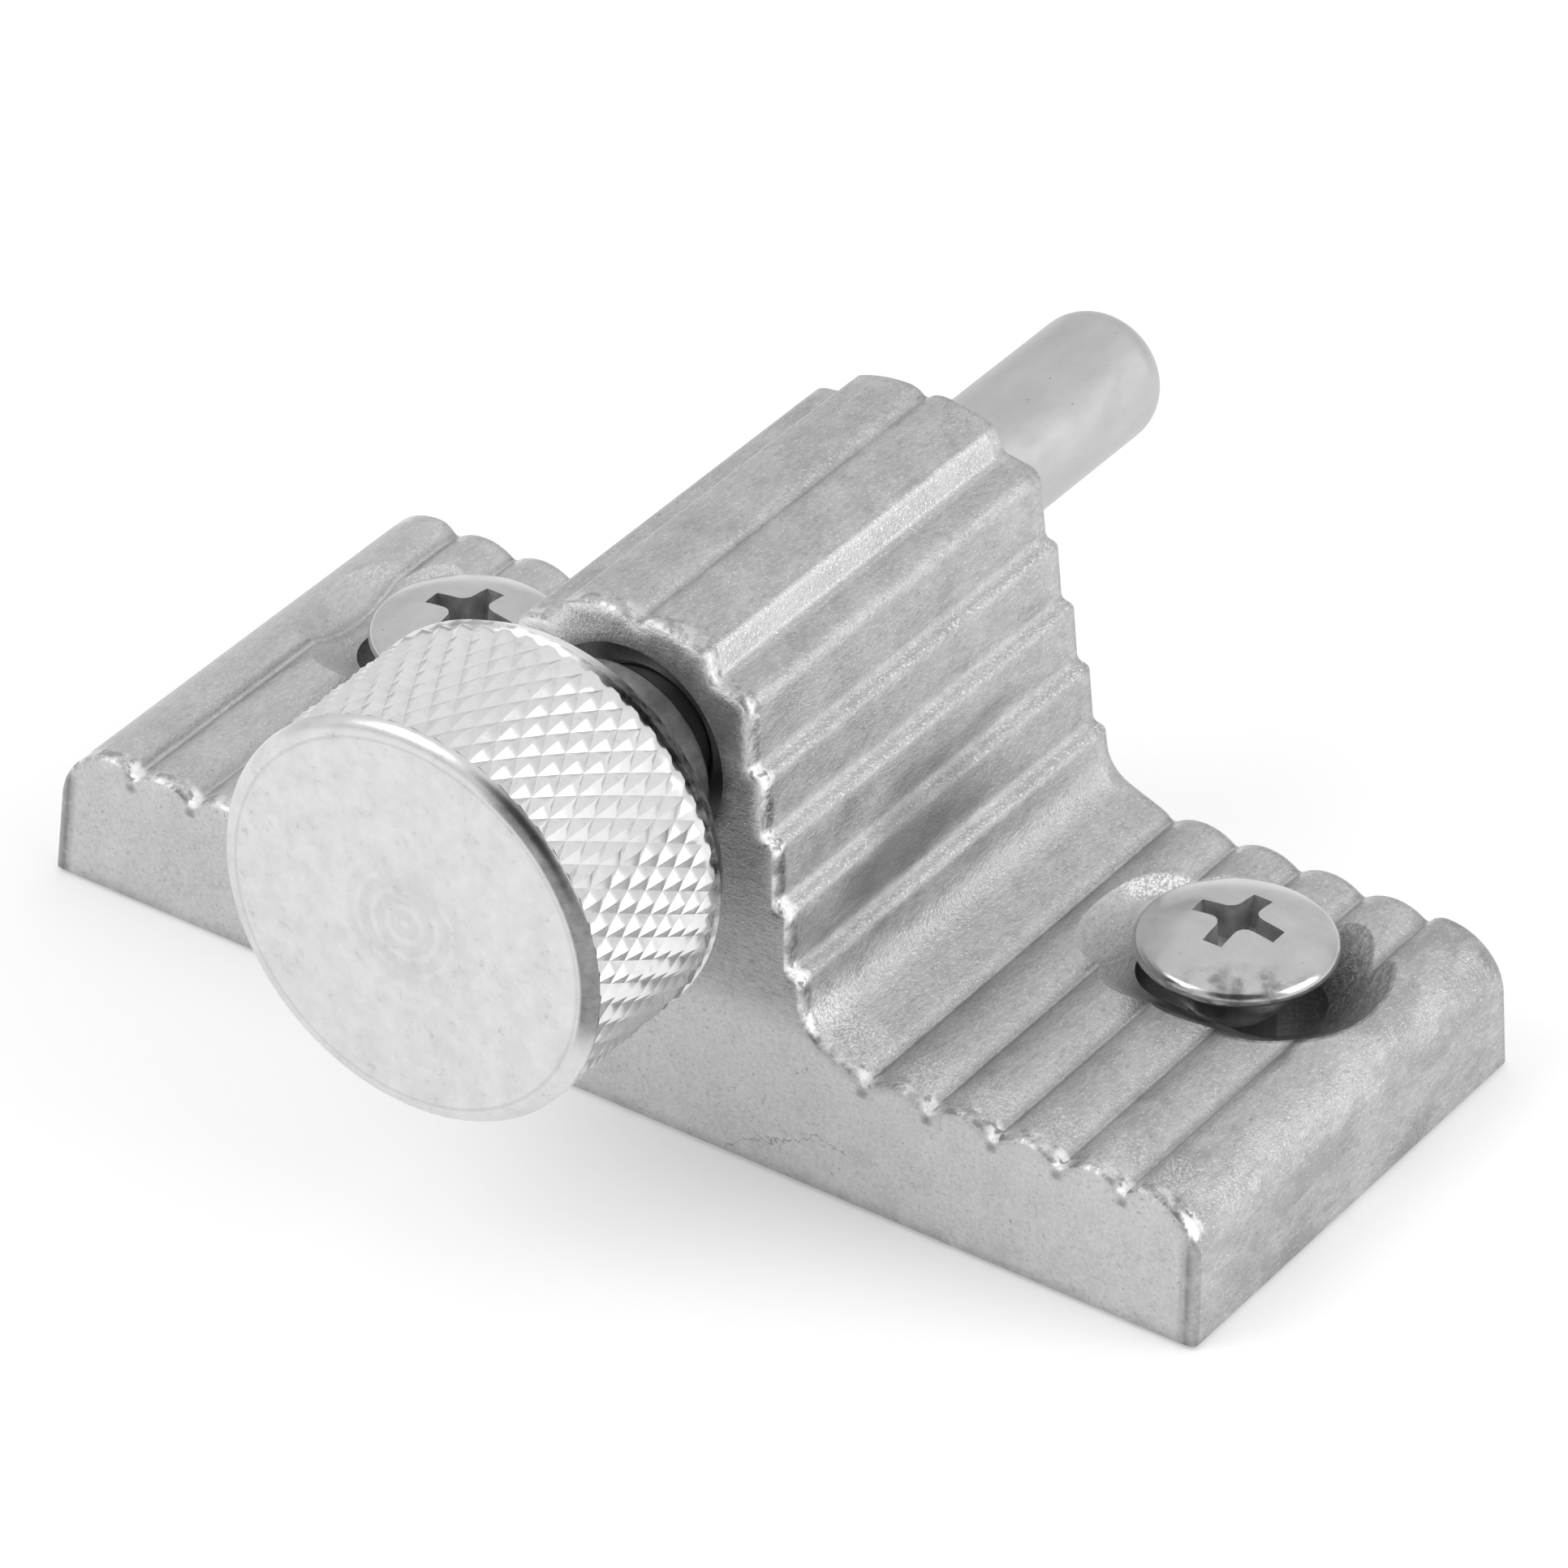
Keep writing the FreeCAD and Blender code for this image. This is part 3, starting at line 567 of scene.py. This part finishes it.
def makeKnobMetal():
    material, tree, shader, where = newMaterial("knobMetal")
    centred = newNode(tree, "Mapping", {"Vector": where, "Location": (0, 0, -axisHeight * mm)})
    x, y, z = splitPlace(tree, centred.outputs[0])
    radius = length(tree, x, z)
    angle = maths(tree, "ARCTAN2", z, x)
    fine, clouds, drift, specks = (noise(tree, where, *turned[name]) for name in
                                   ("fine", "clouds", "drift", "specks"))

    def between(angles):
        return times(tree, *(spread(tree, angle, *ends) for ends in angles))

    # lathe rings, strongest at the face's centre, on cloudy, dirty metal that is paler on the knurl
    shade = grey(tree, clouds, turned["tones"])
    onKnurl = times(tree, near(tree, y, *turned["knurl"]), past(tree, radius, *turned["knurlOut"]))
    shade = tint(tree, shade, turned["knurlLook"], onKnurl)
    shade = blend(tree, "MULTIPLY", turned["dirtShare"], shade, grey(tree, specks, turned["dirt"]))
    wavy = plus(tree, radius, times(tree, fine, turned["ringWaver"] * mm))
    rings = times(tree, maths(tree, "SINE", times(tree, wavy, turned["ringTurns"])),
                  spread(tree, drift, *turned["ringShare"]))
    start, end = turned["centre"]
    centre = spread(tree, radius, start * mm, end * mm, *turned["centreShare"])
    shade = blend(tree, "MULTIPLY", centre, shade, grey(tree, rings, turned["ringTones"]))

    # a fine seam round the face, and a painted dark reflection on the right of the rim behind it
    shade = tint(tree, shade, turned["seamLook"], near(tree, radius, *turned["seam"]),
                 past(tree, y, *turned["seamAlong"]))
    rimDarkReflection = times(tree, between(turned["darkReflectionAngles"]), past(tree, radius, *turned["rimOut"]),
                    past(tree, y, *turned["rimAlong"]), turned["darkReflectionShare"])
    shade = blend(tree, "MIX", rimDarkReflection, shade, grey(tree, specks, turned["darkReflectionTones"]))

    # the rear chamfer has a painted dark reflection on the right, with its reflections tinted down, and the
    # hub and the rear face have painted shade with a few painted glints
    chamfer = times(tree, near(tree, y, *turned["chamfer"]), past(tree, radius, *turned["chamferOut"]),
                    between(turned["chamferAngles"]))
    shade = blend(tree, "MIX", chamfer, shade, grey(tree, specks, turned["chamferReflectionTones"]))
    edgeTone = blend(tree, "MIX", chamfer, plain(1), plain(turned["chamferGloss"]))
    behind = past(tree, y, *turned["behind"])
    shade = blend(tree, "MIX", behind, shade, grey(tree, clouds, turned["behindShadeTones"]))
    shade = tint(tree, shade, turned["glintLook"], behind, near(tree, y, *turned["glints"]),
                 spread(tree, specks, *turned["glintShare"]))

    fromKnurl = unsigned(tree, minus(tree, y, turned["knurl"][0] * mm))
    start, end = turned["glossHalf"]
    roughness = spread(tree, fromKnurl, start * mm, end * mm, *turned["gloss"])
    normal = bump(tree, times(tree, rings, centre), *turned["ringBump"])
    normal = bump(tree, specks, *turned["speckBump"], normal)
    normal = bump(tree, fine, *turned["fineBump"], normal)
    join(tree, shader, {"Base Color": shade, "Metallic": 1.0, "Roughness": roughness, "Normal": normal,
                        "Specular Tint": edgeTone})
    return material


# metals of the small pieces: cloudy, with fine pits; the screws' also has a painted dark reflection on the
# right one's head

small = {
    "scale": (700, 300, 700), "dents": 0.08,      # unless a metal has its own
    "fine": (4000, 2, 0.6), "pits": (2600, 4, 0.7), "cloudDetail": (5, 0.6), "cloudSpan": (0.3, 0.7),
    "pitTones": [(0.27, 0.55), (0.33, 1.0)], "cloudDepth": 0.1, "fineDepth": 0.03, "gloss": (-0.05, 0.07),
}
headDarkReflection = {      # towards is the way that it lies from the head's middle, as (right, back)
    "spots": ((900, 900, 1800), 3, 0.6), "spotShare": (0.38, 0.68), "middle": (20.95, 4.35),
    "towards": (0.55, -0.83), "across": (2.6, 3.6), "right": (0, 1), "up": (7.0, 7.1), "look": (0.1, 0.65),
}


# a painted dark reflection, in streaky spots across the right screw's head
def reflectedOnHead(tree, shade, where):
    x, y, z = splitPlace(tree, where)
    outwards, backwards = (times(tree, minus(tree, value, middle * mm), part) for value, middle, part in
                           zip((x, y), headDarkReflection["middle"], headDarkReflection["towards"]))
    spots = spread(tree, noise(tree, where, *headDarkReflection["spots"]), *headDarkReflection["spotShare"])
    across = past(tree, plus(tree, outwards, backwards), *headDarkReflection["across"])
    return tint(tree, shade, headDarkReflection["look"], spots, across, past(tree, x, *headDarkReflection["right"]),
                past(tree, z, *headDarkReflection["up"]))


def makeSmallMetal(name, tones, roughness, scale=small["scale"], dents=small["dents"], paintedReflections=None):
    material, tree, shader, where = newMaterial(name)
    clouds = noise(tree, where, scale, *small["cloudDetail"])
    fine, pits = (noise(tree, where, *small[name]) for name in ("fine", "pits"))
    shade = grey(tree, clouds, list(zip(small["cloudSpan"], tones)))
    shade = blend(tree, "MULTIPLY", 1.0, shade, grey(tree, pits, small["pitTones"]))
    if paintedReflections:
        shade = paintedReflections(tree, shade, where)
    gloss = [roughness + more for more in small["gloss"]]
    normal = bump(tree, clouds, dents, small["cloudDepth"])
    normal = bump(tree, fine, dents, small["fineDepth"], normal)
    join(tree, shader, {"Base Color": shade, "Metallic": 1.0, "Normal": normal,
                        "Roughness": spread(tree, clouds, *small["cloudSpan"], *gloss)})
    return material


castMetal = makeCastMetal()
knobMetal = makeKnobMetal()
boltMetal = makeSmallMetal("boltMetal", tones=(0.49, 0.57), roughness=0.42)
screwMetal = makeSmallMetal("screwMetal", tones=(0.5, 0.6), roughness=0.2, scale=500, dents=0.04,
                            paintedReflections=reflectedOnHead)
springMetal = makeSmallMetal("springMetal", tones=(0.25, 0.4), roughness=0.3)
# the bushing's metal is painted dark, as shade, since it shows only in the gap behind the knob
shadedBushingMetal = makeSmallMetal("shadedBushingMetal", tones=(0.2, 0.32), roughness=0.4)
recessMetal = makeSmallMetal("recessMetal", tones=(0.46, 0.64), roughness=0.5, scale=1500, dents=0.3)
washerMetal = makeSmallMetal("washerMetal", tones=(0.4, 0.5), roughness=0.35)
ringMetal = makeSmallMetal("ringMetal", tones=(0.08, 0.14), roughness=0.35)

# the nodes whose CAD shape stays
for node, material in (("body_casting", castMetal), ("guide_bushing", shadedBushingMetal),
                       ("thrust_washer", washerMetal), ("retaining_ring", ringMetal)):
    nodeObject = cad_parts[node]
    nodeObject.data.materials.clear()
    nodeObject.data.materials.append(material)
print("materials")


# knob: a lathe turning whose knurl is raised out of a grid of faces

knob = {
    "front": -27.395, "faceRings": (2.0, 5.0), "frontRound": 0.8, "frontSides": 7,
    "rimEnd": 0.1, "rimEdge": 0.06, "radius": 9.55, "tooth": 9.5, "knurlDepth": 0.25, "teeth": 52,
    "knurlFront": -26.82, "knurlRows": 9, "rowPitch": 1.01, "knurlBack": -18.2, "knurlEnd": (0.04, 0.02),
    "shoulder": 0.1, "back": -17.195, "backRadius": 8.9, "backEdge": (0.05, 0.08),
    "hubRadius": 4.7, "hubEnd": -11.965, "hubRound": 0.3, "hubSides": 4, "hubEdge": 0.15,
    "bore": 3.195, "boreDepth": 9.2, "sharpest": 28,      # the sharpest smooth angle, in degrees
}


def makeKnob():
    front, rim, rounding = knob["front"], knob["radius"], knob["frontRound"]
    rear, hubEnd, bore, edge = knob["back"], knob["hubEnd"], knob["bore"], knob["hubEdge"]
    root = knob["tooth"] - knob["knurlDepth"]
    rows = [knob["knurlFront"] + knob["rowPitch"] * n for n in range(knob["knurlRows"])]
    steps = [(front, radius) for radius in knob["faceRings"]]
    corner = arcSteps(front + rounding, rim - rounding, rounding, 180, 90, knob["frontSides"])
    steps += [step for step in corner if step[0] < knob["knurlFront"] - knob["rimEnd"]]
    steps += [(knob["knurlFront"] - knob["rimEdge"], rim - knob["rimEdge"])]
    steps += [(along, root) for along in rows]
    steps += [(knob["knurlBack"] - knob["knurlEnd"][0], root + knob["knurlEnd"][1])]
    steps += [(knob["knurlBack"], rim - knob["shoulder"]), (rear - knob["backEdge"][0], knob["backRadius"])]
    steps += [(rear, knob["backRadius"] - knob["backEdge"][1]), (rear, knob["hubRadius"] + edge)]
    steps += [(rear + edge, knob["hubRadius"])]
    rounding = knob["hubRound"]
    steps += arcSteps(hubEnd - rounding, knob["hubRadius"] - rounding, rounding, 90, 0, knob["hubSides"])
    steps += [(hubEnd, bore + edge), (hubEnd - edge, bore), (hubEnd - knob["boreDepth"], bore)]
    piece = turnedPiece("knurledKnob", steps, knob["teeth"] * 2)

    # each face between the rows is poked, and every second crossing is raised to a tooth
    touching = 1e-6
    first, last = rows[0] * mm - touching, rows[-1] * mm + touching
    startEdit(piece)
    pickFaces(piece, lambda centre, normal: first < centre.z < last and centre.xy.length > 0.9 * root * mm)
    bpy.ops.mesh.poke()
    angleStep = math.pi / knob["teeth"]

    def isPeak(place):
        if not first < place.z < last or abs(place.xy.length - root * mm) > touching:
            return False
        column = round(math.atan2(place.y, place.x) / angleStep)
        rowPlace = (place.z / mm - rows[0]) / knob["rowPitch"]
        row = round(rowPlace)
        return abs(rowPlace - row) < 0.01 and (column + row) % 2 == 0

    pickVerts(piece, isPeak)
    grow = knob["tooth"] / root
    bpy.ops.transform.resize(value=(grow, grow, 1), center_override=(0, 0, 0))
    endEdit()
    layAlongBolt(piece)
    settle(piece, knob["sharpest"])
    return piece


dressed(makeKnob(), "bolt", "pull_knob", knobMetal)
print("knob")


# bolt: a plain rod with a rounded nose and a groove for the ring

bolt = {
    "front": -20.865, "nose": 26.7, "radius": 3.175, "noseRound": 2.1, "noseSides": 14, "chamfer": 0.4,
    "grooveFront": 8.095, "grooveBack": 8.995, "grooveRadius": 2.62, "sides": 96, "travel": 10,
}


def makeBolt():
    radius, rounding = bolt["radius"], bolt["noseRound"]
    steps = [(bolt["front"], radius - bolt["chamfer"]), (bolt["front"] + bolt["chamfer"], radius)]
    steps += [(bolt["grooveFront"], radius), (bolt["grooveFront"], bolt["grooveRadius"])]
    steps += [(bolt["grooveBack"], bolt["grooveRadius"]), (bolt["grooveBack"], radius)]
    steps += arcSteps(bolt["nose"] - rounding, radius - rounding, rounding, 90, 0, bolt["noseSides"])
    piece = turnedPiece("lockBolt", steps, bolt["sides"])
    layAlongBolt(piece)
    settle(piece)
    return piece


dressed(makeBolt(), "bolt", "bolt_pin", boltMetal)
print("bolt")


# screws: an oval head with a cross recess, a plain shank and a thread

screw = {
    "places": {"right": 20.95, "left": -19.65}, "back": 4.35, "seat": 6.96, "sides": 64,
    "headRadius": 4.5, "top": 1.65, "edge": 0.55, "edgeSides": 8, "domeRadius": 10.0, "domeRings": 10,
    "underEdge": ((0, 0.15), (0.06, 0.05), (0.16, 0)),      # how high, and how far inside the head's radius
    "coneSlope": 0.87, "shank": 1.95, "runOut": 0.2, "rootRadius": 1.75, "pointStart": -13.0, "tip": -15.4,
    "tipRadius": 0.02, "threadRadius": 2.4, "threadPitch": 1.15, "threadTop": -7.26, "threadStart": 0.45,
    "threadSteps": 28, "ridgeSunk": 0.1, "ridgeFoot": 0.42, "ridgeCrest": 0.06,
    "recessRadius": 2.5, "recessHalf": 0.57, "recessDepth": 1.7, "recessTaper": 0.7, "recessCorner": 0.55,
    "cornerSides": 4,
}


def makeRecessCutter(top):
    # a cross, extruded out of the four sides of a small block, narrowing downwards
    half, reach, depth = screw["recessHalf"] * mm, screw["recessRadius"] * mm, screw["recessDepth"] * mm
    deselectAll()
    bpy.ops.mesh.primitive_cube_add(size=2, location=(0, 0, top * mm))
    cutter = bpy.context.object
    cutter.scale = (half, half, depth)
    applyTransform()
    for across in ((1, 0), (-1, 0), (0, 1), (0, -1)):
        direction = Vector((*across, 0))
        aside = Vector((across[1], across[0], 0))
        startEdit(cutter, "FACE")
        pickFaces(cutter, lambda centre, normal:
                  normal.dot(direction) > 0.9 and abs(centre.dot(aside)) < half / 2)
        bpy.ops.mesh.extrude_region_move(TRANSFORM_OT_translate={"value": direction * (reach - half)})
        endEdit()
    startEdit(cutter)
    pickVerts(cutter, lambda place: place.z < top * mm)
    taper = screw["recessTaper"]
    bpy.ops.transform.resize(value=(taper, taper, 1), center_override=(0, 0, 0))
    endEdit()

    # its floor becomes one face, and its four inner corners are rounded
    startEdit(cutter, "EDGE")
    bpy.ops.mesh.select_all(action="SELECT")
    bpy.ops.mesh.dissolve_limited(angle_limit=math.radians(1))
    bpy.ops.mesh.select_all(action="DESELECT")
    innermost = half * 1.6
    pickEdges(cutter, lambda a, b: max(a.xy.length, b.xy.length) < innermost and abs(a.z - b.z) > depth)
    bpy.ops.mesh.bevel(offset=screw["recessCorner"] * mm, segments=screw["cornerSides"], profile=0.5)
    bpy.ops.mesh.select_all(action="SELECT")
    bpy.ops.mesh.normals_make_consistent(inside=False)
    endEdit()
    return cutter


def screwSteps():
    head, edge, top, dome = screw["headRadius"], screw["edge"], screw["top"], screw["domeRadius"]
    rims = [(up, head - inside) for up, inside in screw["underEdge"]]
    steps = [(screw["tip"], screw["tipRadius"]), (screw["pointStart"], screw["rootRadius"])]
    steps += [(screw["threadTop"], screw["rootRadius"])]
    steps += [(screw["threadTop"] + screw["runOut"], screw["shank"])]
    steps += [(-(rims[0][1] - screw["shank"]) / screw["coneSlope"], screw["shank"])] + rims

    # the edge rolls over into the dome where both have the same slope
    middleOut = head - edge
    lean = math.asin(middleOut / (dome - edge))
    middleUp = top - dome + (dome - edge) * math.cos(lean)
    steps += arcSteps(middleUp, middleOut, edge, 90, math.degrees(lean), screw["edgeSides"])
    for n in range(1, screw["domeRings"] + 1):
        angle = lean * (1 - n / (screw["domeRings"] + 0.5))
        steps.append((top - dome + dome * math.cos(angle), dome * math.sin(angle)))
    return steps


def makeThread():
    # one ridge's section, wound down the shank
    deselectAll()
    bpy.ops.mesh.primitive_circle_add(vertices=4, radius=1, fill_type="NGON")
    ridge = bpy.context.object
    ridge.name = "threadRidge"
    foot, crest = screw["rootRadius"] - screw["ridgeSunk"], screw["threadRadius"]
    section = ((foot, -screw["ridgeFoot"]), (foot, screw["ridgeFoot"]),
               (crest, screw["ridgeCrest"]), (crest, -screw["ridgeCrest"]))
    startEdit(ridge)
    mesh = bmesh.from_edit_mesh(ridge.data)
    for vert, (radius, along) in zip(mesh.verts, section):
        vert.co = (radius * mm, 0, (screw["threadTop"] - screw["threadStart"] + along) * mm)
    bmesh.update_edit_mesh(ridge.data)
    endEdit()
    turns = int((screw["threadTop"] - screw["pointStart"]) / screw["threadPitch"])
    wind(ridge, -turns, -screw["threadPitch"] * turns, screw["threadSteps"] * turns)
    return ridge


def makeScrew():
    piece = turnedPiece("screwRight", screwSteps(), screw["sides"])
    cutter = makeRecessCutter(screw["top"])
    cutter.data.materials.append(recessMetal)
    piece.data.materials.append(screwMetal)
    applyModifier(piece, "BOOLEAN", operation="DIFFERENCE", solver="EXACT", object=cutter,
                  material_mode="TRANSFER")
    bpy.data.objects.remove(cutter)
    ridge = makeThread()
    ridge.data.materials.append(screwMetal)
    only(piece)
    ridge.select_set(True)
    bpy.ops.object.join()
    return piece


def placeScrews():
    master = makeScrew()
    only(master)
    bpy.ops.object.duplicate()
    twin = bpy.context.object
    twin.name = "screwLeft"
    for piece, side in ((master, "right"), (twin, "left")):
        piece.location = (screw["places"][side] * mm, screw["back"] * mm, screw["seat"] * mm)
        settle(piece)
        dressed(piece, "housing", "mounting_screw_" + side, screwMetal)


placeScrews()
print("screws")


# spring: a wire's section wound round the bolt

spring = {
    "front": -8.295, "back": 7.295, "radius": 4.06, "wire": 0.4, "wireSides": 14, "gap": 0.01,
    "turns": 6.5, "steps": 36, "sharpest": 40,      # steps a turn, and the sharpest smooth angle in degrees
}


def makeSpring():
    inset = spring["wire"] + spring["gap"]
    height = spring["back"] - spring["front"] - 2 * inset
    deselectAll()
    bpy.ops.mesh.primitive_circle_add(vertices=spring["wireSides"], radius=spring["wire"] * mm,
                                      fill_type="NGON", location=(spring["radius"] * mm, 0, 0),
                                      rotation=(math.pi / 2, 0, 0))
    piece = bpy.context.object
    piece.name = "boltSpring"
    applyTransform()
    wind(piece, spring["turns"], height, int(spring["steps"] * spring["turns"]))
    layAlongBolt(piece, spring["front"] + inset)
    settle(piece, spring["sharpest"])
    return piece


springPiece = makeSpring()
dressed(springPiece, "housing", "compression_spring", springMetal)
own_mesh(springPiece)
print("spring")


# floor, lamps and the room's light, in metres

room = {
    "floorSize": 6, "floorUnder": 0.0002, "floorTone": 0.82, "floorRoughness": 0.9, "floorGlow": 0.25,
    "lamps": {      # direction, distance, size and radiance
        "softBoxRight": ((0.87, 0.26, 0.42), 0.8, 0.55, 2.2),
        "softBoxLeft": ((-0.457, -0.565, 0.686), 0.9, 0.45, 2.5),
    },
    "sky": [(0.0, 0.78), (0.3, 0.82), (0.6, 0.92), (1.0, 0.95)],
    "dark": (0.84, 0.94), "darkLook": (0.08,),      # a patch behind the camera, by the cosine from its line
}


def makeFloor():
    deselectAll()
    bpy.ops.mesh.primitive_plane_add(size=room["floorSize"], location=(0, 0, -room["floorUnder"]))
    floor = bpy.context.object
    floor.name = "floor"
    material, tree, shader, where = newMaterial("paleFloor")
    join(tree, shader, {"Base Color": plain(room["floorTone"]), "Roughness": room["floorRoughness"],
                        "Specular IOR Level": 0.0})
    rays = newNode(tree, "LightPath", {}).outputs
    seen = maths(tree, "MAXIMUM", rays["Is Camera Ray"], rays["Is Glossy Ray"])
    seen = maths(tree, "MAXIMUM", seen, rays["Is Transmission Ray"])
    glow = newNode(tree, "Emission", {"Strength": times(tree, seen, room["floorGlow"])})
    both = newNode(tree, "AddShader", {0: shader.outputs[0], 1: glow.outputs[0]})
    join(tree, tree.nodes["Material Output"], {"Surface": both.outputs[0]})
    floor.data.materials.append(material)


def softLamp(name, direction, distance, side, radiance):
    data = bpy.data.lights.new(name, "AREA")
    data.shape = "SQUARE"
    data.size = side
    data.energy = radiance * math.pi * side * side
    lamp = bpy.data.objects.new(name, data)
    bpy.context.scene.collection.objects.link(lamp)
    lamp.location = Vector(direction).normalized() * distance
    lamp.rotation_euler = lamp.location.to_track_quat("Z", "Y").to_euler()


def makeRoom():
    world = bpy.data.worlds.new("room")
    bpy.context.scene.world = world
    world.use_nodes = True
    tree = world.node_tree
    direction = tree.nodes.new("ShaderNodeTexCoord").outputs["Generated"]
    sky = grey(tree, splitPlace(tree, direction)[2], room["sky"])
    towards = newNode(tree, "VectorMath", {0: direction, 1: back}, operation="DOT_PRODUCT")
    dark = spread(tree, towards.outputs["Value"], *room["dark"])
    join(tree, tree.nodes["Background"], {"Color": tint(tree, sky, room["darkLook"], dark)})


makeFloor()
for name, lamp in room["lamps"].items():
    softLamp(name, *lamp)
makeRoom()
bpy.context.scene.view_settings.view_transform = "Standard"
print("room")
